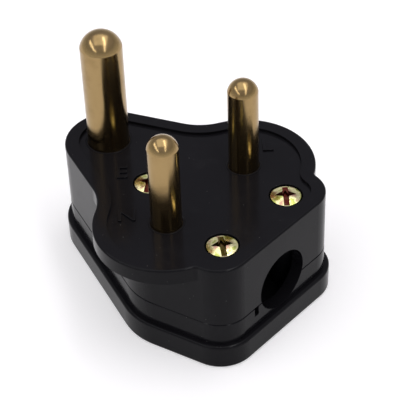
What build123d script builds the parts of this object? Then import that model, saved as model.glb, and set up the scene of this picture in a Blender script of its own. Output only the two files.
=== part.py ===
# Rewirable plug with three round pins, 5/6 A pattern, modelled in millimetres.
# The plug stands on its flat back with the pins up.
# The origin is on the back face, midway between the line and neutral pins.
# +Y runs to the earth pin, the cord enters at -Y, and +Z is the way the pins point.
import os
from math import asin, atan2, cos, degrees, radians, sin
from build123d import *

# Pin layout, from the round-pin pattern
PIN_SPACING = 19.05
EARTH_OFFSET = 22.2
EARTH_DIAMETER = 7.06
LIVE_DIAMETER = 5.08
EARTH_OUT = 21.6
LIVE_OUT = 16.8
EARTH_DOME = 2.7
LIVE_DOME = 2.0

# Heights of the moulded body, from the back face
BODY_HEIGHT = 20.4
SEAM_HEIGHT = 8.7
FOOT_HEIGHT = 4.5
EAR_THICKNESS = 2.8

# Outline of the body
EARTH_LOBE_RADIUS = 8.15
EARTH_LOBE_INSET = 0.9
SHOULDER_FROM_PIN = 7.175
SHOULDER_RADIUS = 10.3
SHOULDER_OFFSET = -0.5
CORD_CORNER_FROM_PIN = 5.075
CORD_CORNER_RADIUS = 5.3
CORD_FACE_OFFSET = 16.1
EAR_RADIUS = 12.0
EAR_BLEND_RADIUS = 9.0
EAR_NOTCH_RADIUS = 1.0
FOOT_LEDGE = 0.9

# Walls and edges of the mouldings
WALL = 2.2
FACE_PLATE = 4.0
BACK_PLATE = 2.2
FACE_RECESS = 0.5
FACE_RIM = 2.4
TOP_EDGE_ROUND = 0.35
FOOT_EDGE_ROUND = 0.5
BACK_EDGE_ROUND = 0.4
WELL_EDGE_ROUND = 0.08
SEAM_EDGE_CHAMFER = 0.15
LIP_THICKNESS = 0.9
LIP_HEIGHT = 1.0
FIT_CLEARANCE = 0.1
POST_ROOT = 1.0

# Cord entry and cord grip
CORD_HOLE_DIAMETER = 10.7
CORD_HOLE_HEIGHT = 10.25
CORD_DIAMETER = 8.0
CORD_CHANNEL_END = 5.5
CLAMP_OFFSET = 5.2
CLAMP_SCREW_SPACING = 12.4
CLAMP_WIDTH = 4.2
CLAMP_THICKNESS = 2.2
CLAMP_SCREW_DIAMETER = 2.0
CLAMP_SCREW_HEAD_DIAMETER = 3.9
CLAMP_SCREW_HEAD_HEIGHT = 1.3
CLAMP_SCREW_LENGTH = 8.0
CLAMP_RIDGE = 0.6

# Screws that hold the two mouldings together
COVER_SCREW_SPACING = 15.8
COVER_SCREW_FROM_CORD_FACE = 5.75
CENTRE_SCREW_SIDE = 3.9
CENTRE_SCREW_OFFSET = 9.0
SCREW_DIAMETER = 2.9
SCREW_HOLE_DIAMETER = 3.3
SCREW_HEAD_DIAMETER = 5.0
SCREW_HEAD_HEIGHT = 1.6
SCREW_HEAD_DOME = 0.5
SCREW_HEAD_ABOVE_FACE = 0.35
SCREW_WELL_DIAMETER = 5.6
SCREW_LENGTH = 13.5
SCREW_SLOT_WIDTH = 0.95
SCREW_SLOT_DEPTH = 0.6
SCREW_CROSS_WIDTH = 1.7
SCREW_CROSS_LENGTH = 3.9
SCREW_CROSS_DEPTH = 1.1
SCREW_CROSS_TAPER = 12
LEFT_SCREW_TURN = 50
RIGHT_SCREW_TURN = 44
CENTRE_SCREW_TURN = 30
BOSS_DIAMETER = 5.6
INSERT_DIAMETER = 4.2
INSERT_LENGTH = 4.6
INSERT_GROOVE = 0.3

# Terminal heads on the inner ends of the pins
LIVE_HEAD_DIAMETER = 6.8
EARTH_HEAD_DIAMETER = 8.8
HEAD_LENGTH = 9.4
ROOT_STEP = 0.3
HEAD_SEAT_DEPTH = 1.0
SEAT_COLLAR_WALL = 1.1
SEAT_COLLAR_HEIGHT = 2.5
WIRE_HOLE_DIAMETER = 3.0
WIRE_HOLE_FROM_SEAT = 3.6
TERMINAL_SCREW_DIAMETER = 2.9
TERMINAL_SCREW_LENGTH = 5.0
TERMINAL_SCREW_HEAD_DIAMETER = 4.6
TERMINAL_SCREW_HEAD_HEIGHT = 1.5
TERMINAL_SCREW_SLOT_WIDTH = 0.7
TERMINAL_SCREW_SLOT_DEPTH = 0.7
PILLAR_WALL = 1.0

# Small notch in the seam beside the cord hole
SEAM_NOTCH_WIDTH = 1.0
SEAM_NOTCH_HEIGHT = 1.8
SEAM_NOTCH_DEPTH = 0.6
SEAM_NOTCH_SIDE = 6.4

# Worked-out places
LINE_AT = (PIN_SPACING / 2, 0)
NEUTRAL_AT = (-PIN_SPACING / 2, 0)
EARTH_AT = (0, EARTH_OFFSET)
COVER_SCREWS = {
    "left": (-COVER_SCREW_SPACING / 2, COVER_SCREW_FROM_CORD_FACE - CORD_FACE_OFFSET),
    "right": (COVER_SCREW_SPACING / 2, COVER_SCREW_FROM_CORD_FACE - CORD_FACE_OFFSET),
    "centre": (-CENTRE_SCREW_SIDE, CENTRE_SCREW_OFFSET),
}
COVER_SCREW_TURNS = {
    "left": LEFT_SCREW_TURN,
    "right": RIGHT_SCREW_TURN,
    "centre": CENTRE_SCREW_TURN,
}
CLAMP_SCREWS = {
    "left": (-CLAMP_SCREW_SPACING / 2, -CLAMP_OFFSET),
    "right": (CLAMP_SCREW_SPACING / 2, -CLAMP_OFFSET),
}
FACE_HEIGHT = BODY_HEIGHT - FACE_RECESS
CAVITY_TOP = BODY_HEIGHT - FACE_PLATE
HEAD_SEAT = CAVITY_TOP + HEAD_SEAT_DEPTH
HEAD_END = HEAD_SEAT - HEAD_LENGTH
SCREW_HEAD_TOP = FACE_HEIGHT + SCREW_HEAD_ABOVE_FACE
SCREW_SEAT = SCREW_HEAD_TOP - SCREW_HEAD_HEIGHT
CLAMP_TOP = CORD_HOLE_HEIGHT - CORD_DIAMETER / 2
CLAMP_BOTTOM = CLAMP_TOP - CLAMP_THICKNESS


# Rounded corners of the right half of the body, from the earth lobe to the cord side
SHOULDER_HALF_WIDTH = PIN_SPACING / 2 + SHOULDER_FROM_PIN
CORD_CORNER_HALF_WIDTH = PIN_SPACING / 2 + CORD_CORNER_FROM_PIN
CORNERS = [
    (Vector(0, EARTH_OFFSET - EARTH_LOBE_INSET), EARTH_LOBE_RADIUS),
    (Vector(SHOULDER_HALF_WIDTH - SHOULDER_RADIUS, SHOULDER_OFFSET), SHOULDER_RADIUS),
    (
        Vector(CORD_CORNER_HALF_WIDTH - CORD_CORNER_RADIUS, CORD_CORNER_RADIUS - CORD_FACE_OFFSET),
        CORD_CORNER_RADIUS,
    ),
]


# Outline of the straight walls, grown outwards or inwards by the same amount all round
def make_outline(grow=0):
    with BuildSketch() as outline:
        with BuildLine():
            angle = 90
            for (here, radius), (there, next_radius) in zip(CORNERS, CORNERS[1:]):
                way = there - here
                bend = degrees(asin((radius - next_radius) / way.length))
                turn = degrees(atan2(way.Y, way.X)) + 90 - bend
                normal = Vector(cos(radians(turn)), sin(radians(turn)))
                CenterArc(here, radius + grow, angle, turn - angle)
                Line(here + normal * (radius + grow), there + normal * (next_radius + grow))
                angle = turn
            last, radius = CORNERS[-1]
            CenterArc(last, radius + grow, angle, -90 - angle)
            Line((last.X, last.Y - radius - grow), (0, last.Y - radius - grow))
            mirror(about=Plane.YZ)
        make_face()
    return outline.sketch


# True where an ear's round edge ends on the straight walls
def ends_ear(vertex):
    side = Vector(abs(vertex.X), vertex.Y) - Vector(*LINE_AT)
    return abs(side.length - EAR_RADIUS) < 0.001


# True for the top edge of a cover screw's well
def rims_well(edge):
    round_edge = edge.geom_type == GeomType.CIRCLE and abs(edge.center().Z - FACE_HEIGHT) < 0.001
    return round_edge and abs(edge.radius - SCREW_WELL_DIAMETER / 2) < 0.001


with BuildSketch() as face_outline:
    add(make_outline())
    with Locations(LINE_AT, NEUTRAL_AT):
        Circle(EAR_RADIUS)
    fillet([v for v in face_outline.vertices() if ends_ear(v) and v.Y > 0], EAR_BLEND_RADIUS)
    fillet([v for v in face_outline.vertices() if ends_ear(v) and v.Y < 0], EAR_NOTCH_RADIUS)


# Upper moulding with the pin face
with BuildPart() as pin_base:
    with BuildSketch(Plane.XY.offset(SEAM_HEIGHT)):
        add(make_outline())
    extrude(amount=BODY_HEIGHT - SEAM_HEIGHT)
    chamfer(pin_base.faces().sort_by(Axis.Z)[0].edges(), SEAM_EDGE_CHAMFER)
    with BuildSketch(Plane.XY.offset(BODY_HEIGHT - EAR_THICKNESS)):
        add(face_outline.sketch)
    extrude(amount=EAR_THICKNESS)
    fillet(pin_base.faces().sort_by(Axis.Z)[-1].outer_wire().edges(), TOP_EDGE_ROUND)

    # Shallow recess of the pin face inside its rim
    with BuildSketch(Plane.XY.offset(FACE_HEIGHT)):
        offset(face_outline.sketch, amount=-FACE_RIM)
    extrude(amount=FACE_RECESS, mode=Mode.SUBTRACT)

    # Wiring cavity, open at the seam
    with BuildSketch(Plane.XY.offset(SEAM_HEIGHT)):
        add(make_outline(-WALL))
    extrude(amount=CAVITY_TOP - SEAM_HEIGHT, mode=Mode.SUBTRACT)

    # Rebate that takes the lip of the back cover
    with BuildSketch(Plane.XY.offset(SEAM_HEIGHT)):
        add(make_outline(LIP_THICKNESS + FIT_CLEARANCE - WALL))
    extrude(amount=LIP_HEIGHT + FIT_CLEARANCE, mode=Mode.SUBTRACT)

    # Posts for the cover screws and the cord grip screws, and collars round the terminal heads
    with BuildSketch(Plane.XY.offset(SEAM_HEIGHT)):
        with Locations(*COVER_SCREWS.values()):
            Circle(BOSS_DIAMETER / 2)
    extrude(amount=CAVITY_TOP + POST_ROOT - SEAM_HEIGHT)
    with BuildSketch(Plane.XY.offset(CLAMP_TOP)):
        with Locations(*CLAMP_SCREWS.values()):
            Circle(CLAMP_WIDTH / 2)
    extrude(amount=CAVITY_TOP + POST_ROOT - CLAMP_TOP)
    with BuildSketch(Plane.XY.offset(CAVITY_TOP - SEAT_COLLAR_HEIGHT)):
        with Locations(LINE_AT, NEUTRAL_AT):
            Circle(LIVE_HEAD_DIAMETER / 2 + FIT_CLEARANCE + SEAT_COLLAR_WALL)
        with Locations(EARTH_AT):
            Circle(EARTH_HEAD_DIAMETER / 2 + FIT_CLEARANCE + SEAT_COLLAR_WALL)
    extrude(amount=SEAT_COLLAR_HEIGHT + POST_ROOT)

    # Seats and holes of the pins
    with BuildSketch(Plane.XY.offset(CAVITY_TOP - SEAT_COLLAR_HEIGHT)):
        with Locations(LINE_AT, NEUTRAL_AT):
            Circle(LIVE_HEAD_DIAMETER / 2 + FIT_CLEARANCE)
        with Locations(EARTH_AT):
            Circle(EARTH_HEAD_DIAMETER / 2 + FIT_CLEARANCE)
    extrude(amount=SEAT_COLLAR_HEIGHT + HEAD_SEAT_DEPTH, mode=Mode.SUBTRACT)
    with BuildSketch(Plane.XY.offset(CAVITY_TOP)):
        with Locations(LINE_AT, NEUTRAL_AT):
            Circle(LIVE_DIAMETER / 2 + ROOT_STEP)
        with Locations(EARTH_AT):
            Circle(EARTH_DIAMETER / 2 + ROOT_STEP)
    extrude(amount=FACE_PLATE, mode=Mode.SUBTRACT)

    # Wells and holes of the cover screws
    with Locations(*[(x, y, FACE_HEIGHT) for x, y in COVER_SCREWS.values()]):
        CounterBoreHole(SCREW_HOLE_DIAMETER / 2, SCREW_WELL_DIAMETER / 2, FACE_HEIGHT - SCREW_SEAT)
    fillet([edge for edge in pin_base.edges() if rims_well(edge)], WELL_EDGE_ROUND)
    with BuildSketch(Plane.XY.offset(CLAMP_TOP)):
        with Locations(*CLAMP_SCREWS.values()):
            Circle(CLAMP_SCREW_DIAMETER / 2)
    extrude(amount=CLAMP_SCREW_LENGTH, mode=Mode.SUBTRACT)

    # Channel of the cord, and its hole in the wall
    with BuildSketch(Plane.XZ.offset(-CORD_CHANNEL_END)):
        with Locations((0, CORD_HOLE_HEIGHT)):
            Circle(CORD_DIAMETER / 2)
    extrude(amount=CORD_CHANNEL_END + CORD_FACE_OFFSET - WALL, mode=Mode.SUBTRACT)
    with BuildSketch(Plane.XZ.offset(CORD_FACE_OFFSET - 2 * WALL)):
        with Locations((0, CORD_HOLE_HEIGHT)):
            Circle(CORD_HOLE_DIAMETER / 2)
    extrude(amount=3 * WALL, mode=Mode.SUBTRACT)
pin_base.part.label = "pin_base"


# Threaded bush moulded into each screw post of the back cover
def make_insert(place):
    x, y = place
    with BuildPart() as insert:
        with BuildSketch(Plane.XZ.offset(-y)):
            with BuildLine():
                r_in = SCREW_DIAMETER / 2
                r_out = INSERT_DIAMETER / 2
                top = SEAM_HEIGHT
                step = INSERT_LENGTH / 3
                Polyline(
                    (x + r_in, top),
                    (x + r_out, top),
                    (x + r_out, top - step),
                    (x + r_out - INSERT_GROOVE, top - step),
                    (x + r_out - INSERT_GROOVE, top - 2 * step),
                    (x + r_out, top - 2 * step),
                    (x + r_out, top - 3 * step),
                    (x + r_in, top - 3 * step),
                    close=True,
                )
            make_face()
        revolve(axis=Axis((x, y, 0), (0, 0, 1)))
    return insert


inserts = {side: make_insert(place) for side, place in COVER_SCREWS.items()}


# Lower moulding with the wide foot
with BuildPart() as back_cover:
    with BuildSketch():
        add(make_outline(FOOT_LEDGE))
    extrude(amount=FOOT_HEIGHT)
    fillet(back_cover.faces().sort_by(Axis.Z)[-1].edges(), FOOT_EDGE_ROUND)
    fillet(back_cover.faces().sort_by(Axis.Z)[0].edges(), BACK_EDGE_ROUND)
    with BuildSketch(Plane.XY.offset(FOOT_HEIGHT - POST_ROOT)):
        add(make_outline())
    extrude(amount=SEAM_HEIGHT - FOOT_HEIGHT + POST_ROOT)
    chamfer(back_cover.faces().sort_by(Axis.Z)[-1].edges(), SEAM_EDGE_CHAMFER)

    # Locating lip, then the wiring cavity
    with BuildSketch(Plane.XY.offset(SEAM_HEIGHT)):
        add(make_outline(LIP_THICKNESS - WALL))
    extrude(amount=LIP_HEIGHT)
    with BuildSketch(Plane.XY.offset(BACK_PLATE)):
        add(make_outline(-WALL))
    extrude(amount=SEAM_HEIGHT + LIP_HEIGHT - BACK_PLATE, mode=Mode.SUBTRACT)

    # Screw posts, and pillars that hold the terminal heads in their seats
    with BuildSketch(Plane.XY.offset(BACK_PLATE - POST_ROOT)):
        with Locations(*COVER_SCREWS.values()):
            Circle(BOSS_DIAMETER / 2)
    extrude(amount=SEAM_HEIGHT - BACK_PLATE + POST_ROOT)
    with BuildSketch(Plane.XY.offset(SEAM_HEIGHT)):
        with Locations(*COVER_SCREWS.values()):
            Circle(BOSS_DIAMETER / 2 + FIT_CLEARANCE)
    extrude(amount=LIP_HEIGHT, mode=Mode.SUBTRACT)
    with BuildSketch(Plane.XY.offset(BACK_PLATE - POST_ROOT)):
        with Locations(LINE_AT, NEUTRAL_AT, EARTH_AT):
            Circle(TERMINAL_SCREW_HEAD_DIAMETER / 2 + FIT_CLEARANCE + PILLAR_WALL)
            Circle(TERMINAL_SCREW_HEAD_DIAMETER / 2 + FIT_CLEARANCE, mode=Mode.SUBTRACT)
    extrude(amount=HEAD_END - BACK_PLATE + POST_ROOT)

    # Holes for the bushes and the screw tips
    for insert in inserts.values():
        add(insert.part, mode=Mode.SUBTRACT)
    with BuildSketch(Plane.XY.offset(SCREW_SEAT - SCREW_LENGTH - FIT_CLEARANCE)):
        with Locations(*COVER_SCREWS.values()):
            Circle(SCREW_HOLE_DIAMETER / 2)
    extrude(amount=SCREW_LENGTH, mode=Mode.SUBTRACT)

    # Lower part of the cord hole, and the small notch beside it
    with BuildSketch(Plane.XZ.offset(CORD_FACE_OFFSET - 2 * WALL)):
        with Locations((0, CORD_HOLE_HEIGHT)):
            Circle(CORD_HOLE_DIAMETER / 2)
    extrude(amount=3 * WALL, mode=Mode.SUBTRACT)
    with BuildSketch(Plane.XZ.offset(CORD_FACE_OFFSET - SEAM_NOTCH_DEPTH)):
        with Locations((-SEAM_NOTCH_SIDE, SEAM_HEIGHT - SEAM_NOTCH_HEIGHT / 2)):
            Rectangle(SEAM_NOTCH_WIDTH, SEAM_NOTCH_HEIGHT)
    extrude(amount=2 * SEAM_NOTCH_DEPTH, mode=Mode.SUBTRACT)
back_cover.part.label = "back_cover"


# Turned brass pin with a domed tip, a stepped root in the moulding and a drilled terminal head
def make_pin(place, diameter, out, dome, head_diameter):
    x, y = place
    tip = BODY_HEIGHT + out
    with BuildPart() as pin:
        with BuildSketch(Plane.XZ.offset(-y)):
            with BuildLine():
                Polyline(
                    (x, tip),
                    (x, HEAD_END),
                    (x + head_diameter / 2, HEAD_END),
                    (x + head_diameter / 2, HEAD_SEAT),
                    (x + diameter / 2 + ROOT_STEP, HEAD_SEAT),
                    (x + diameter / 2 + ROOT_STEP, FACE_HEIGHT),
                    (x + diameter / 2, FACE_HEIGHT),
                    (x + diameter / 2, tip - dome),
                )
                sphere = (dome ** 2 + (diameter / 2) ** 2) / (2 * dome)
                RadiusArc((x, tip), (x + diameter / 2, tip - dome), sphere)
            make_face()
        revolve(axis=Axis((x, y, 0), (0, 0, 1)))
        with BuildSketch(Plane.XZ.offset(-y - head_diameter)):
            with Locations((x, HEAD_SEAT - WIRE_HOLE_FROM_SEAT)):
                Circle(WIRE_HOLE_DIAMETER / 2)
        extrude(amount=2 * head_diameter, mode=Mode.SUBTRACT)
        with BuildSketch(Plane.XY.offset(HEAD_END)):
            with Locations(place):
                Circle(TERMINAL_SCREW_DIAMETER / 2)
        extrude(amount=HEAD_LENGTH - WIRE_HOLE_FROM_SEAT, mode=Mode.SUBTRACT)
    return pin


# Slotted clamp screw in the end of a terminal head
def make_terminal_screw(place):
    head_top = HEAD_END
    with BuildPart() as screw:
        with BuildSketch(Plane.XY.offset(head_top - TERMINAL_SCREW_HEAD_HEIGHT)):
            with Locations(place):
                Circle(TERMINAL_SCREW_HEAD_DIAMETER / 2)
        extrude(amount=TERMINAL_SCREW_HEAD_HEIGHT)
        with BuildSketch(Plane.XY.offset(head_top)):
            with Locations(place):
                Circle(TERMINAL_SCREW_DIAMETER / 2)
        extrude(amount=TERMINAL_SCREW_LENGTH)
        with BuildSketch(Plane.XY.offset(head_top - TERMINAL_SCREW_HEAD_HEIGHT)):
            with Locations(place):
                Rectangle(2 * TERMINAL_SCREW_HEAD_DIAMETER, TERMINAL_SCREW_SLOT_WIDTH)
        extrude(amount=TERMINAL_SCREW_SLOT_DEPTH, mode=Mode.SUBTRACT)
    return screw


# One pair of arms of the cross recess, wide in the middle and pointed at the ends
CROSS_POINTS = [
    (SCREW_CROSS_LENGTH / 2, 0),
    (0, SCREW_CROSS_WIDTH / 2),
    (-SCREW_CROSS_LENGTH / 2, 0),
    (0, -SCREW_CROSS_WIDTH / 2),
]


# Cover screw with a low domed head, a slot right across it and a deeper cross recess
def make_cover_screw(place, turn):
    x, y = place
    with BuildPart() as screw:
        with BuildSketch(Plane.XZ.offset(-y)):
            with BuildLine():
                radius = SCREW_HEAD_DIAMETER / 2
                shoulder = SCREW_HEAD_TOP - SCREW_HEAD_DOME
                dome = (SCREW_HEAD_DOME ** 2 + radius ** 2) / (2 * SCREW_HEAD_DOME)
                Polyline(
                    (x, SCREW_HEAD_TOP),
                    (x, SCREW_SEAT - SCREW_LENGTH),
                    (x + SCREW_DIAMETER / 2, SCREW_SEAT - SCREW_LENGTH),
                    (x + SCREW_DIAMETER / 2, SCREW_SEAT),
                    (x + radius, SCREW_SEAT),
                    (x + radius, shoulder),
                )
                RadiusArc((x, SCREW_HEAD_TOP), (x + radius, shoulder), dome)
            make_face()
        revolve(axis=Axis((x, y, 0), (0, 0, 1)))
        with BuildSketch(Plane.XY.offset(SCREW_HEAD_TOP)):
            with Locations(place):
                Rectangle(2 * SCREW_HEAD_DIAMETER, SCREW_SLOT_WIDTH, rotation=turn)
        extrude(amount=-SCREW_SLOT_DEPTH, mode=Mode.SUBTRACT)
        with BuildSketch(Plane.XY.offset(SCREW_HEAD_TOP)):
            with Locations(place):
                Polygon(*CROSS_POINTS, rotation=turn)
                Polygon(*CROSS_POINTS, rotation=turn + 90)
        extrude(amount=-SCREW_CROSS_DEPTH, taper=SCREW_CROSS_TAPER, mode=Mode.SUBTRACT)
    return screw


# Self-tapping screw of the cord grip, driven from the back
def make_clamp_screw(place):
    with BuildPart() as screw:
        with BuildSketch(Plane.XY.offset(CLAMP_BOTTOM - CLAMP_SCREW_HEAD_HEIGHT)):
            with Locations(place):
                Circle(CLAMP_SCREW_HEAD_DIAMETER / 2)
        extrude(amount=CLAMP_SCREW_HEAD_HEIGHT)
        with BuildSketch(Plane.XY.offset(CLAMP_BOTTOM)):
            with Locations(place):
                Circle(CLAMP_SCREW_DIAMETER / 2)
        extrude(amount=CLAMP_SCREW_LENGTH)
        with BuildSketch(Plane.XY.offset(CLAMP_BOTTOM - CLAMP_SCREW_HEAD_HEIGHT)):
            with Locations(place):
                Rectangle(2 * CLAMP_SCREW_HEAD_DIAMETER, TERMINAL_SCREW_SLOT_WIDTH)
        extrude(amount=TERMINAL_SCREW_SLOT_DEPTH, mode=Mode.SUBTRACT)
    return screw


# Bar that grips the cord, with a ridge across its middle
with BuildPart() as cord_clamp:
    with BuildSketch(Plane.XY.offset(CLAMP_BOTTOM)):
        with Locations((0, -CLAMP_OFFSET)):
            SlotCenterToCenter(CLAMP_SCREW_SPACING, CLAMP_WIDTH)
        with Locations(*CLAMP_SCREWS.values()):
            Circle(CLAMP_SCREW_DIAMETER / 2 + FIT_CLEARANCE, mode=Mode.SUBTRACT)
    extrude(amount=CLAMP_THICKNESS)
    with BuildSketch(Plane.XZ.offset(CLAMP_OFFSET - CLAMP_RIDGE)):
        with Locations((0, CORD_HOLE_HEIGHT)):
            Circle(CORD_DIAMETER / 2 + CLAMP_RIDGE)
            Circle(CORD_DIAMETER / 2, mode=Mode.SUBTRACT)
        with Locations((0, CORD_HOLE_HEIGHT + CLAMP_THICKNESS)):
            Rectangle(4 * CORD_DIAMETER, CORD_DIAMETER + 4 * CLAMP_RIDGE, mode=Mode.SUBTRACT)
    extrude(amount=2 * CLAMP_RIDGE)
cord_clamp.part.label = "cord_clamp"


os.makedirs("parts", exist_ok=True)
export_step(pin_base.part, "parts/pin_base.step")
export_step(back_cover.part, "parts/back_cover.step")
export_step(cord_clamp.part, "parts/cord_clamp.step")

for side, insert in inserts.items():
    insert.part.label = f"cover_insert_{side}"
    export_step(insert.part, f"parts/cover_insert_{side}.step")

for side, place in COVER_SCREWS.items():
    cover_screw = make_cover_screw(place, COVER_SCREW_TURNS[side])
    cover_screw.part.label = f"cover_screw_{side}"
    export_step(cover_screw.part, f"parts/cover_screw_{side}.step")

for side, place in CLAMP_SCREWS.items():
    clamp_screw = make_clamp_screw(place)
    clamp_screw.part.label = f"cord_clamp_screw_{side}"
    export_step(clamp_screw.part, f"parts/cord_clamp_screw_{side}.step")

PINS = {
    "earth": (EARTH_AT, EARTH_DIAMETER, EARTH_OUT, EARTH_DOME, EARTH_HEAD_DIAMETER),
    "line": (LINE_AT, LIVE_DIAMETER, LIVE_OUT, LIVE_DOME, LIVE_HEAD_DIAMETER),
    "neutral": (NEUTRAL_AT, LIVE_DIAMETER, LIVE_OUT, LIVE_DOME, LIVE_HEAD_DIAMETER),
}
for name, (place, diameter, out, dome, head_diameter) in PINS.items():
    pin = make_pin(place, diameter, out, dome, head_diameter)
    pin.part.label = f"{name}_pin"
    export_step(pin.part, f"parts/{name}_pin.step")
    terminal_screw = make_terminal_screw(place)
    terminal_screw.part.label = f"{name}_terminal_screw"
    export_step(terminal_screw.part, f"parts/{name}_terminal_screw.step")
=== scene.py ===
from math import cos, pi, radians, sin

import bmesh
import bpy
from bpy.props import FloatProperty, FloatVectorProperty, PointerProperty
from mathutils import Matrix, Vector


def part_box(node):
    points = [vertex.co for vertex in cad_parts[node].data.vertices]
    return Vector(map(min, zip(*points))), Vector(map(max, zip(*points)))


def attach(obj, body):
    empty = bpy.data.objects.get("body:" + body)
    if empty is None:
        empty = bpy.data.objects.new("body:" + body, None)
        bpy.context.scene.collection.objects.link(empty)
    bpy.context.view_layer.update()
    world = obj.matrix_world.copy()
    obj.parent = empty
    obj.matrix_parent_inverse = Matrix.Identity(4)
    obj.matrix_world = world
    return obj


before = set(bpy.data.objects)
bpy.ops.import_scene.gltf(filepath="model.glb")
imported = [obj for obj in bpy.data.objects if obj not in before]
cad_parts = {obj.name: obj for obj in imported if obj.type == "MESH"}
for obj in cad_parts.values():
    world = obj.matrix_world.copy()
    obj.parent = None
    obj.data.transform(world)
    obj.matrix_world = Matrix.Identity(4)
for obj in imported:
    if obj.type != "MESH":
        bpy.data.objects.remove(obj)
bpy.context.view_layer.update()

bl_info = {
    "name": "Round-pin plug",
    "version": (1, 0, 0),
    "blender": (4, 5, 0),
    "location": "3D View > Sidebar > Plug",
    "description": "Finishes a rewirable round-pin plug and lights it on a white table",
    "category": "Object",
}

BODY = "root"
MOULDINGS = ("pin_base", "back_cover")
PINS = ("earth_pin", "line_pin", "neutral_pin")
COVER_SCREWS = ("cover_screw_left", "cover_screw_right", "cover_screw_centre")
INNER_BRASS = (
    "earth_terminal_screw",
    "line_terminal_screw",
    "neutral_terminal_screw",
    "cover_insert_left",
    "cover_insert_right",
    "cover_insert_centre",
)
CLAMP_SCREWS = ("cord_clamp_screw_left", "cord_clamp_screw_right")

# Fixed values of the finishes, the small forms and the stage

MILLIMETRES = 1000
PLASTIC_IOR = 1.18
DUST_COLOUR = (0.16, 0.155, 0.15)
PINK_FILM = (0.60, 0.36, 0.26)
GREEN_FILM = (0.50, 0.54, 0.14)
# Painted highlight laid on the rim of each cover screw's cross recess.
PAINTED_RIM_HIGHLIGHT = (0.86, 0.84, 0.52)
RECESS_REACH_SQUARED = 5.3
SEAL_CLEARANCE = 0.00001
SEAL_TOP_SHARE = 0.7
LETTER_EDGE_SHARE = 0.3
RING_STEPS = 96
TABLE_COLOUR = (0.8, 0.8, 0.8)
TABLE_SEEN_COLOUR = (0.82, 0.80, 0.83)
TABLE_GLOW = 0.36
WHITE = (1, 1, 1)
OVERHEAD_WIDTH = 1.2
OVERHEAD_HEIGHT = 1.0
STRIP_WIDTH = 0.07
STRIP_HEIGHT = 0.5
STRIP_SHIFTS = {"strip_left": (-0.5, -0.45), "strip_right": (0.08, 0.35)}
SENSOR_WIDTH = 36


# Sizes and colours that a user would change


class MouldingSettings(bpy.types.PropertyGroup):
    colour: FloatVectorProperty(
        name="Colour",
        description="Colour of the moulded body",
        subtype="COLOR",
        size=3,
        min=0,
        max=1,
        default=(0.0062, 0.0059, 0.0074),
    )
    haze: FloatVectorProperty(
        name="Haze",
        description="Colour of the faint bloom in the moulded skin",
        subtype="COLOR",
        size=3,
        min=0,
        max=1,
        default=(0.0105, 0.0100, 0.0122),
    )
    gloss: FloatProperty(
        name="Roughness",
        description="Roughness of the clean moulded skin",
        subtype="FACTOR",
        min=0,
        max=1,
        default=0.12,
    )


class BrassSettings(bpy.types.PropertyGroup):
    colour: FloatVectorProperty(
        name="Colour",
        description="Colour of the polished brass",
        subtype="COLOR",
        size=3,
        min=0,
        max=1,
        default=(0.35, 0.243, 0.110),
    )
    tarnish: FloatVectorProperty(
        name="Tarnish",
        description="Colour of the brass where it has dulled",
        subtype="COLOR",
        size=3,
        min=0,
        max=1,
        default=(0.25, 0.165, 0.070),
    )
    roughness: FloatProperty(
        name="Roughness",
        description="Roughness of the polished brass",
        subtype="FACTOR",
        min=0,
        max=1,
        default=0.13,
    )


class ZincSettings(bpy.types.PropertyGroup):
    colour: FloatVectorProperty(
        name="Colour",
        description="Main colour of the yellow zinc plating",
        subtype="COLOR",
        size=3,
        min=0,
        max=1,
        default=(0.74, 0.68, 0.36),
    )
    roughness: FloatProperty(
        name="Roughness",
        description="Roughness of the plating",
        subtype="FACTOR",
        min=0,
        max=1,
        default=0.16,
    )
    dome: FloatProperty(
        name="Dome",
        description="Rise of the domed screw heads in millimetres, from which their recesses are found",
        min=0,
        default=0.5,
    )
    # Painted shade: darkens the cross recesses of the right and centre screws, tinted warm like the
    # plating film.
    warm_recess_shade: FloatVectorProperty(
        name="Warm recess",
        description="Colour in the recesses of the right and centre screws",
        subtype="COLOR",
        size=3,
        min=0,
        max=1,
        default=(0.15, 0.022, 0.016),
    )
    # Painted shade: darkens the cross recess of the left screw, tinted olive like the plating film.
    olive_recess_shade: FloatVectorProperty(
        name="Olive recess",
        description="Colour in the recess of the left screw",
        subtype="COLOR",
        size=3,
        min=0,
        max=1,
        default=(0.085, 0.060, 0.008),
    )


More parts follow.
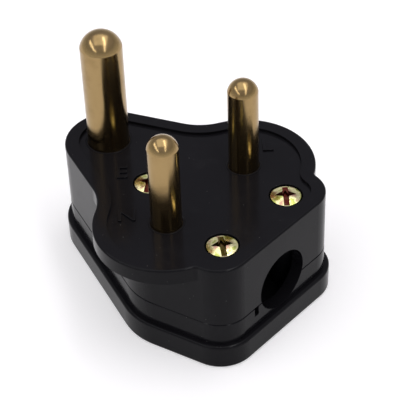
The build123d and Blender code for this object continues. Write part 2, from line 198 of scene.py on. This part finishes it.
class MarkSettings(bpy.types.PropertyGroup):
    face: FloatProperty(
        name="Face",
        description="Height of the pin face above the back",
        subtype="DISTANCE",
        unit="LENGTH",
        default=0.0199,
    )
    size: FloatProperty(
        name="Letter size",
        description="Size of the raised letters",
        subtype="DISTANCE",
        unit="LENGTH",
        min=0.0005,
        default=0.0042,
    )
    height: FloatProperty(
        name="Letter height",
        description="How far the letters stand out of the face",
        subtype="DISTANCE",
        unit="LENGTH",
        min=0,
        default=0.00022,
    )
    turn: FloatProperty(
        name="Turn",
        description="Turn of the letters on the face",
        subtype="ANGLE",
        unit="ROTATION",
        default=radians(-46),
    )
    earth_spot: FloatVectorProperty(
        name="Earth letter",
        description="Place of the letter E on the face",
        subtype="TRANSLATION",
        unit="LENGTH",
        size=2,
        default=(-0.0052, 0.0142),
    )
    line_spot: FloatVectorProperty(
        name="Line letter",
        description="Place of the letter L on the face",
        subtype="TRANSLATION",
        unit="LENGTH",
        size=2,
        default=(0.0158, 0.0002),
    )
    neutral_spot: FloatVectorProperty(
        name="Neutral letter",
        description="Place of the letter N on the face",
        subtype="TRANSLATION",
        unit="LENGTH",
        size=2,
        default=(-0.0125, 0.0060),
    )
    earth_radius: FloatProperty(
        name="Earth pin radius",
        description="Radius of the earth pin",
        subtype="DISTANCE",
        unit="LENGTH",
        default=0.00353,
    )
    live_radius: FloatProperty(
        name="Live pin radius",
        description="Radius of the line and neutral pins",
        subtype="DISTANCE",
        unit="LENGTH",
        default=0.00254,
    )
    seal_width: FloatProperty(
        name="Seal width",
        description="Width of the thin seal round the foot of each pin",
        subtype="DISTANCE",
        unit="LENGTH",
        default=0.00045,
    )
    seal_height: FloatProperty(
        name="Seal height",
        description="Height of the seal round the foot of each pin",
        subtype="DISTANCE",
        unit="LENGTH",
        default=0.00005,
    )


class StageSettings(bpy.types.PropertyGroup):
    azimuth: FloatProperty(
        name="Azimuth",
        description="Way the camera looks, turned from +Y",
        subtype="ANGLE",
        unit="ROTATION",
        default=radians(-46.887),
    )
    elevation: FloatProperty(
        name="Elevation",
        description="Height of the camera above the horizon",
        subtype="ANGLE",
        unit="ROTATION",
        default=radians(40.343),
    )
    roll: FloatProperty(
        name="Roll",
        description="Tilt of the picture",
        subtype="ANGLE",
        unit="ROTATION",
        default=radians(-2.267),
    )
    distance: FloatProperty(
        name="Distance",
        description="Distance from the camera to the point it looks at",
        subtype="DISTANCE",
        unit="LENGTH",
        min=0.05,
        default=0.249126,
    )
    target: FloatVectorProperty(
        name="Target",
        description="Point that the camera looks at",
        subtype="TRANSLATION",
        unit="LENGTH",
        size=3,
        default=(0.000909, 0.002272, 0.016572),
    )
    lens: FloatProperty(
        name="Lens",
        description="Focal length in millimetres for a 36 mm sensor",
        min=10,
        default=135.0,
    )
    table: FloatProperty(
        name="Table",
        description="Half the width of the table top",
        subtype="DISTANCE",
        unit="LENGTH",
        min=0.1,
        default=4.0,
    )
    overhead: FloatProperty(
        name="Overhead light",
        description="Power of the soft light above the plug",
        unit="POWER",
        min=0,
        default=4.5,
    )
    strips: FloatProperty(
        name="Strip lights",
        description="Power of each of the two long lights",
        unit="POWER",
        min=0,
        default=1.0,
    )
    ambient: FloatProperty(
        name="Ambient",
        description="Strength of the even light from the room",
        subtype="FACTOR",
        min=0,
        max=1,
        default=0.35,
    )


# Shader maths and nodes


class Value:
    """A socket of a material, on which Python's operators add Math nodes."""

    def __init__(self, graph, socket):
        self.graph = graph
        self.socket = socket

    def maths(self, operation, *terms):
        return self.graph.node("ShaderNodeMath", {"operation": operation}, dict(enumerate(terms)))

    def __add__(self, other):
        return self.maths("ADD", self, other)

    __radd__ = __add__

    def __sub__(self, other):
        return self.maths("SUBTRACT", self, other)

    def __rsub__(self, other):
        return self.maths("SUBTRACT", other, self)

    def __mul__(self, other):
        return self.maths("MULTIPLY", self, other)

    __rmul__ = __mul__

    def __lt__(self, other):
        return self.maths("LESS_THAN", self, other)


class Graph:
    """The node tree of a material or a world, built from calls."""

    def __init__(self, owner):
        owner.use_nodes = True
        self.tree = owner.node_tree
        self.tree.nodes.clear()

    def node(self, kind, settings=None, inputs=None, output=0):
        node = self.tree.nodes.new(kind)
        for name, value in (settings or {}).items():
            if name == "stops":
                self.set_stops(node.color_ramp, value)
            else:
                setattr(node, name, value)
        for name, value in (inputs or {}).items():
            socket = node.inputs[name]
            if isinstance(value, Value):
                self.tree.links.new(value.socket, socket)
            else:
                socket.default_value = value
        return Value(self, node.outputs[output]) if node.outputs else None

    def set_stops(self, ramp, stops):
        while len(ramp.elements) < len(stops):
            ramp.elements.new(1)
        for element, (position, colour) in zip(ramp.elements, stops):
            element.position = position
            element.color = rgba(colour)

    def ramp(self, factor, stops):
        return self.node("ShaderNodeValToRGB", {"stops": stops}, {0: factor})

    def mix(self, factor, first, second):
        settings = {"data_type": "RGBA"}
        inputs = {0: factor, 6: rgba(first), 7: rgba(second)}
        return self.node("ShaderNodeMix", settings, inputs, 2)

    def between(self, value, low, high):
        settings = {"clamp": True, "interpolation_type": "SMOOTHSTEP"}
        return self.node("ShaderNodeMapRange", settings, {0: value, 1: low, 2: high})

    def noise(self, place, scale, detail=2.0, roughness=0.5):
        inputs = {"Vector": place, "Scale": scale, "Detail": detail, "Roughness": roughness}
        return self.node("ShaderNodeTexNoise", None, inputs)

    def place(self, stretch=(1, 1, 1)):
        """Object coordinates in millimetres, stretched along each axis."""
        found = self.node("ShaderNodeTexCoord", None, None, "Object")
        scale = tuple(MILLIMETRES * share for share in stretch)
        return self.node("ShaderNodeMapping", None, {"Vector": found, "Scale": scale})

    def bump(self, height, strength, depth, normal=None):
        inputs = {"Height": height, "Strength": strength, "Distance": depth}
        if normal is not None:
            inputs["Normal"] = normal
        return self.node("ShaderNodeBump", None, inputs)

    def surface(self, shader):
        self.node("ShaderNodeOutputMaterial", None, {"Surface": shader})

    def principled(self, colour, roughness, skin, constant, value):
        """The finished surface, with one constant on the shader's own socket."""
        inputs = {"Base Color": colour, "Roughness": roughness, "Normal": skin, constant: value}
        self.surface(self.node("ShaderNodeBsdfPrincipled", None, inputs))


def rgba(colour):
    return colour if isinstance(colour, Value) else (*tuple(colour)[:3], 1)


def new_material(name):
    material = bpy.data.materials.new(name)
    return material, Graph(material)


def wear(piece, material):
    piece.data.materials.clear()
    piece.data.materials.append(material)


# Finishes


def make_moulding_finish(settings, name="moulded_black"):
    material, graph = new_material(name)
    place = graph.place()
    cloud = graph.noise(place, 0.11, 3.0, 0.55)
    smudge = graph.between(graph.noise(place, 0.32, 4.0, 0.6), 0.50, 0.74)
    grain = graph.noise(place, 9.0, 2.0, 0.6)
    hairs = graph.between(graph.noise(graph.place((0.25, 5.0, 0.4)), 1.0, 2.0, 0.5), 0.62, 0.70)
    cross_hairs = graph.between(graph.noise(graph.place((4.2, 0.22, 0.4)), 1.0, 2.0, 0.5), 0.63, 0.70)
    scratches = hairs + cross_hairs
    cell = graph.node("ShaderNodeTexVoronoi", None, {"Vector": place, "Scale": 0.62})
    dust = graph.between(0.060 - cell, 0.0, 0.02) * graph.between(grain, 0.35, 0.6)
    colour = graph.mix(cloud * 0.7 + smudge * 0.3, settings.colour, settings.haze)
    colour = graph.mix(dust * 0.5, colour, DUST_COLOUR)
    roughness = settings.gloss + 0.05 * cloud + 0.09 * smudge + 0.05 * scratches + 0.3 * dust
    waves = graph.bump(graph.noise(place, 0.16, 1.0, 0.4), 0.5, 0.00006)
    skin = graph.bump(grain * 0.5 - scratches * 0.5 + dust * 2.0, 0.09, 0.00002, waves)
    graph.principled(colour, roughness, skin, "IOR", PLASTIC_IOR)
    return material


def make_brass_finish(settings, name="turned_brass"):
    material, graph = new_material(name)
    place = graph.place()
    rings = graph.noise(graph.place((0.02, 0.02, 1.0)), 14.0, 3.0, 0.7)
    cloud = graph.noise(place, 0.28, 3.0, 0.6)
    spots = graph.between(graph.noise(place, 1.6, 4.0, 0.65), 0.56, 0.72)
    pits = graph.noise(place, 7.0, 2.0, 0.6)
    dull = graph.between(cloud, 0.42, 0.72) * 0.55 + spots * 0.22
    colour = graph.mix(dull, settings.colour, settings.tarnish)
    roughness = settings.roughness + 0.07 * cloud + 0.07 * spots + 0.04 * rings
    lathe = graph.bump(rings, 0.20, 0.000010)
    skin = graph.bump(pits, 0.30, 0.000020, lathe)
    graph.principled(colour, roughness, skin, "Metallic", 1.0)
    return material


def make_zinc_finish(settings, name="yellow_zinc", box=None, recess_shade=None):
    """Yellow zinc; with the box of a cover screw, painted shade darkens its cross recess by depth and a
    painted highlight lightens the recess rim.
    """
    material, graph = new_material(name)
    place = graph.place()
    film = graph.noise(place, 0.75, 2.0, 0.5)
    grain = graph.noise(place, 8.0, 2.0, 0.6)
    pale = tuple(min(1.0, share * 1.25 + 0.06) for share in settings.colour)
    colour = graph.ramp(
        film,
        [
            (0.36, PINK_FILM),
            (0.44, settings.colour),
            (0.52, pale),
            (0.60, GREEN_FILM),
        ],
    )
    roughness = settings.roughness + 0.10 * grain
    if box:
        low, high = (Vector(corner) * MILLIMETRES for corner in box)
        centre = ((low.x + high.x) / 2, (low.y + high.y) / 2, high.z)
        from_top = graph.node("ShaderNodeVectorMath", {"operation": "SUBTRACT"}, {0: place, 1: centre})
        parts = graph.node("ShaderNodeSeparateXYZ", None, {0: from_top}).socket.node.outputs
        across, along, fall = (Value(graph, socket) for socket in parts)
        out = across * across + along * along
        within = out < RECESS_REACH_SQUARED
        sunk = 0 - fall - settings.dome * out * (4 / (high.x - low.x) ** 2)
        # Painted shade: the recess darkens with depth, in each screw's warm or olive tint like the
        # plating film.
        recess = graph.between(sunk, 0.03, 0.14) * within
        # Painted highlight: a thin pale ring at the top of the recess.
        rim_highlight = graph.between(sunk, 0.0, 0.03) * (1 - graph.between(sunk, 0.03, 0.08)) * within
        colour = graph.mix(rim_highlight * 0.7, colour, PAINTED_RIM_HIGHLIGHT)
        colour = graph.mix(recess * (0.55 + 0.9 * film), colour, recess_shade)
        roughness = roughness + 0.12 * recess
    skin = graph.bump(grain, 0.15, 0.000015)
    graph.principled(colour, roughness, skin, "Metallic", 1.0)
    return material


# Pieces


class PLUG_OT_mouldings(bpy.types.Operator):
    """Give the two mouldings their glossy black skin."""

    bl_idname = "plug.mouldings"
    bl_label = "Finish Mouldings"

    def execute(self, context):
        finish = make_moulding_finish(context.scene.plug_moulding)
        for name in MOULDINGS:
            wear(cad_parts[name], finish)
        return {"FINISHED"}


class PLUG_OT_pins(bpy.types.Operator):
    """Give the three pins their turned brass surface."""

    bl_idname = "plug.pins"
    bl_label = "Finish Pins"

    def execute(self, context):
        finish = make_brass_finish(context.scene.plug_brass)
        for name in PINS:
            wear(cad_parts[name], finish)
        return {"FINISHED"}


class PLUG_OT_cover_screws(bpy.types.Operator):
    """Give the three cover screws their yellow zinc plating, with painted shade in the cross recesses
    and a painted highlight round their rims.
    """

    bl_idname = "plug.cover_screws"
    bl_label = "Finish Cover Screws"

    def execute(self, context):
        zinc = context.scene.plug_zinc
        for name in COVER_SCREWS:
            # Each screw gets its own colour of painted recess shade.
            recess_shade = zinc.olive_recess_shade if name == "cover_screw_left" else zinc.warm_recess_shade
            wear(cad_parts[name], make_zinc_finish(zinc, f"{name}_zinc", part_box(name), recess_shade))
        return {"FINISHED"}


class PLUG_OT_inner_parts(bpy.types.Operator):
    """Finish the bushes, the terminal screws and the cord grip inside the plug."""

    bl_idname = "plug.inner_parts"
    bl_label = "Finish Inner Parts"

    def execute(self, context):
        scene = context.scene
        brass = make_brass_finish(scene.plug_brass, "machined_brass")
        for name in INNER_BRASS:
            wear(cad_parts[name], brass)
        zinc = make_zinc_finish(scene.plug_zinc, "clamp_screw_zinc")
        for name in CLAMP_SCREWS:
            wear(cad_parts[name], zinc)
        wear(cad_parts["cord_clamp"], make_moulding_finish(scene.plug_moulding, "clamp_black"))
        return {"FINISHED"}


class PLUG_OT_seals(bpy.types.Operator):
    """Lay a thin moulded seal round the foot of each pin."""

    bl_idname = "plug.seals"
    bl_label = "Add Pin Seals"

    def execute(self, context):
        settings = context.scene.plug_marks
        finish = make_moulding_finish(context.scene.plug_moulding, "seal_black")
        for name in PINS:
            low, high = (Vector(corner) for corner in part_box(name))
            centre = Vector(((low.x + high.x) / 2, (low.y + high.y) / 2, settings.face))
            radius = settings.earth_radius if name == "earth_pin" else settings.live_radius
            form = bmesh.new()
            inside = radius + SEAL_CLEARANCE
            shoulder = radius + settings.seal_width * SEAL_TOP_SHARE
            rings = [
                add_ring(form, centre, inside, 0),
                add_ring(form, centre, inside, settings.seal_height),
                add_ring(form, centre, shoulder, settings.seal_height),
                add_ring(form, centre, radius + settings.seal_width, 0),
            ]
            for inner, outer in zip(rings, rings[1:] + rings[:1]):
                join_rings(form, inner, outer)
            bmesh.ops.recalc_face_normals(form, faces=form.faces)
            seal = add_piece(f"{name}_seal", form)
            seal.data.shade_smooth()
            fasten(seal, finish)
        return {"FINISHED"}


class PLUG_OT_marks(bpy.types.Operator):
    """Raise the letters E, L and N from the pin face."""

    bl_idname = "plug.marks"
    bl_label = "Add Letters"

    def execute(self, context):
        settings = context.scene.plug_marks
        finish = make_moulding_finish(context.scene.plug_moulding, "letter_black")
        spots = {"E": settings.earth_spot, "L": settings.line_spot, "N": settings.neutral_spot}
        for letter, spot in spots.items():
            mark = self.add_letter(letter, settings)
            turn = Matrix.Rotation(settings.turn, 4, "Z")
            place = Matrix.Translation((spot[0], spot[1], settings.face)) @ turn
            mark.data.transform(place)
            fasten(mark, finish)
        return {"FINISHED"}

    def add_letter(self, letter, settings):
        curve = bpy.data.curves.new(f"letter_{letter}", "FONT")
        curve.body = letter
        curve.size = settings.size
        curve.extrude = settings.height
        curve.bevel_depth = settings.height * LETTER_EDGE_SHARE
        curve.align_x = "CENTER"
        curve.align_y = "CENTER"
        text = bpy.data.objects.new(f"text_{letter}", curve)
        bpy.context.scene.collection.objects.link(text)
        depsgraph = bpy.context.evaluated_depsgraph_get()
        mesh = bpy.data.meshes.new_from_object(text.evaluated_get(depsgraph))
        bpy.data.objects.remove(text)
        mesh.materials.clear()
        mark = bpy.data.objects.new(f"letter_{letter}", mesh)
        bpy.context.scene.collection.objects.link(mark)
        return mark


class PLUG_OT_stage(bpy.types.Operator):
    """Set the plug on a white table with soft lights and the camera."""

    bl_idname = "plug.stage"
    bl_label = "Set Stage"

    def execute(self, context):
        settings = context.scene.plug_stage
        self.make_table(settings)
        self.make_room(context.scene, settings)
        self.make_lights(settings)
        self.make_camera(context.scene, settings)
        context.scene.view_settings.view_transform = "Standard"
        return {"FINISHED"}

    def make_table(self, settings):
        form = bmesh.new()
        bmesh.ops.create_grid(form, x_segments=1, y_segments=1, size=settings.table)
        table = add_piece("table", form)
        material, graph = new_material("white_table")
        wear(table, material)
        plain = graph.node("ShaderNodeBsdfDiffuse", None, {"Color": rgba(TABLE_COLOUR)})
        shaded = graph.node("ShaderNodeBsdfDiffuse", None, {"Color": rgba(TABLE_SEEN_COLOUR)})
        glow = graph.node("ShaderNodeEmission", None, {"Color": rgba(WHITE), "Strength": TABLE_GLOW})
        white = graph.node("ShaderNodeAddShader", None, {0: shaded, 1: glow})
        graph.surface(graph.node("ShaderNodeMixShader", None, {0: seen(graph), 1: plain, 2: white}))

    def make_room(self, scene, settings):
        world = bpy.data.worlds.new("room")
        scene.world = world
        graph = Graph(world)
        way = graph.node("ShaderNodeTexCoord", None, None, "Generated")
        rise = graph.node("ShaderNodeSeparateXYZ", None, {0: way}, 2)
        walls = graph.ramp(
            rise,
            [
                (0.00, (0.80, 0.80, 0.80)),
                (0.45, (0.40, 0.40, 0.42)),
                (0.65, (0.50, 0.49, 0.56)),
                (1.00, (0.50, 0.50, 0.51)),
            ],
        )
        shown = graph.node("ShaderNodeBackground", None, {"Color": walls, "Strength": 1.0})
        plain = {"Color": rgba(WHITE), "Strength": settings.ambient}
        even = graph.node("ShaderNodeBackground", None, plain)
        mixed = graph.node("ShaderNodeMixShader", None, {0: seen(graph), 1: even, 2: shown})
        graph.node("ShaderNodeOutputWorld", None, {"Surface": mixed})

    def make_lights(self, settings):
        ahead = Vector((-sin(settings.azimuth), cos(settings.azimuth), 0))
        side = Vector((ahead.y, -ahead.x, 0))
        rise = Vector((0, 0, OVERHEAD_HEIGHT))
        far, near = 0.75 * ahead + rise, -0.45 * ahead + rise
        add_light("overhead", settings.overhead, OVERHEAD_WIDTH, far, near)
        rise = Vector((0, 0, STRIP_HEIGHT))
        for name, (far_shift, near_shift) in STRIP_SHIFTS.items():
            far = rise + 0.2 * ahead + far_shift * side
            near = rise - 0.83 * ahead + near_shift * side
            add_light(name, settings.strips, STRIP_WIDTH, far, near)

    def make_camera(self, scene, settings):
        camera = bpy.data.objects.new("camera", bpy.data.cameras.new("camera"))
        scene.collection.objects.link(camera)
        camera.data.sensor_width = SENSOR_WIDTH
        camera.data.lens = settings.lens
        camera.data.clip_start = 0.01
        turn, rise = settings.azimuth, settings.elevation
        back = Vector((sin(turn) * cos(rise), -cos(turn) * cos(rise), sin(rise)))
        right = Vector((0, 0, 1)).cross(back).normalized()
        basis = Matrix((right, back.cross(right), back)).transposed()
        camera.matrix_world = (
            Matrix.Translation(Vector(settings.target) + settings.distance * back)
            @ basis.to_4x4()
            @ Matrix.Rotation(settings.roll, 4, "Z")
        )
        scene.camera = camera


def seen(graph):
    """1 for rays from the camera and for mirrored and refracted ones."""
    rays = [
        graph.node("ShaderNodeLightPath", None, None, name)
        for name in ("Is Camera Ray", "Is Glossy Ray", "Is Transmission Ray")
    ]
    return graph.between(rays[0] + rays[1] + rays[2], 0.0, 1.0)


def add_piece(name, form):
    """A new object from a bmesh, at the origin."""
    mesh = bpy.data.meshes.new(name)
    form.to_mesh(mesh)
    form.free()
    piece = bpy.data.objects.new(name, mesh)
    bpy.context.scene.collection.objects.link(piece)
    return piece


def fasten(piece, finish):
    """Give a moulded piece its finish and body."""
    wear(piece, finish)
    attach(piece, BODY)


def add_ring(form, centre, radius, rise):
    """A ring of vertices round centre, lifted by rise."""
    turns = [2 * pi * step / RING_STEPS for step in range(RING_STEPS)]
    return [form.verts.new(centre + Vector((radius * cos(t), radius * sin(t), rise))) for t in turns]


def join_rings(form, inner, outer):
    """Faces between two rings of the same count."""
    for here in range(len(inner)):
        there = (here + 1) % len(inner)
        form.faces.new((inner[here], inner[there], outer[there], outer[here]))


def add_light(name, power, width, far, near):
    """A flat lamp from far to near, turned so that it shines at the plug."""
    lamp = bpy.data.lights.new(name, "AREA")
    lamp.shape = "RECTANGLE"
    lamp.size = width
    lamp.size_y = (far - near).length
    lamp.energy = power
    light = bpy.data.objects.new(name, lamp)
    bpy.context.scene.collection.objects.link(light)
    along = (far - near).normalized()
    spot = (far + near) / 2
    right = along.cross(spot - spot.dot(along) * along).normalized()
    basis = Matrix((right, along, right.cross(along))).transposed()
    light.matrix_world = Matrix.Translation(spot) @ basis.to_4x4()


class PLUG_PT_sidebar(bpy.types.Panel):
    bl_label = "Plug"
    bl_idname = "PLUG_PT_sidebar"
    bl_space_type = "VIEW_3D"
    bl_region_type = "UI"
    bl_category = "Plug"

    def draw(self, context):
        scene = context.scene
        for operator, settings in STEPS:
            box = self.layout.box()
            box.operator(operator)
            if settings:
                group = getattr(scene, settings)
                for name in group.__annotations__:
                    box.prop(group, name)


STEPS = (
    ("plug.mouldings", "plug_moulding"),
    ("plug.pins", "plug_brass"),
    ("plug.cover_screws", "plug_zinc"),
    ("plug.inner_parts", None),
    ("plug.seals", None),
    ("plug.marks", "plug_marks"),
    ("plug.stage", "plug_stage"),
)

GROUPS = {
    "plug_moulding": MouldingSettings,
    "plug_brass": BrassSettings,
    "plug_zinc": ZincSettings,
    "plug_marks": MarkSettings,
    "plug_stage": StageSettings,
}

CLASSES = (
    *GROUPS.values(),
    PLUG_OT_mouldings,
    PLUG_OT_pins,
    PLUG_OT_cover_screws,
    PLUG_OT_inner_parts,
    PLUG_OT_seals,
    PLUG_OT_marks,
    PLUG_OT_stage,
    PLUG_PT_sidebar,
)


def register():
    for each in CLASSES:
        bpy.utils.register_class(each)
    for name, group in GROUPS.items():
        setattr(bpy.types.Scene, name, PointerProperty(type=group))


def unregister():
    for name in GROUPS:
        delattr(bpy.types.Scene, name)
    for each in reversed(CLASSES):
        bpy.utils.unregister_class(each)


def main():
    register()
    bpy.ops.plug.mouldings()
    bpy.ops.plug.pins()
    bpy.ops.plug.cover_screws()
    bpy.ops.plug.inner_parts()
    bpy.ops.plug.seals()
    bpy.ops.plug.marks()
    bpy.ops.plug.stage()


if __name__ == "__main__":
    main()
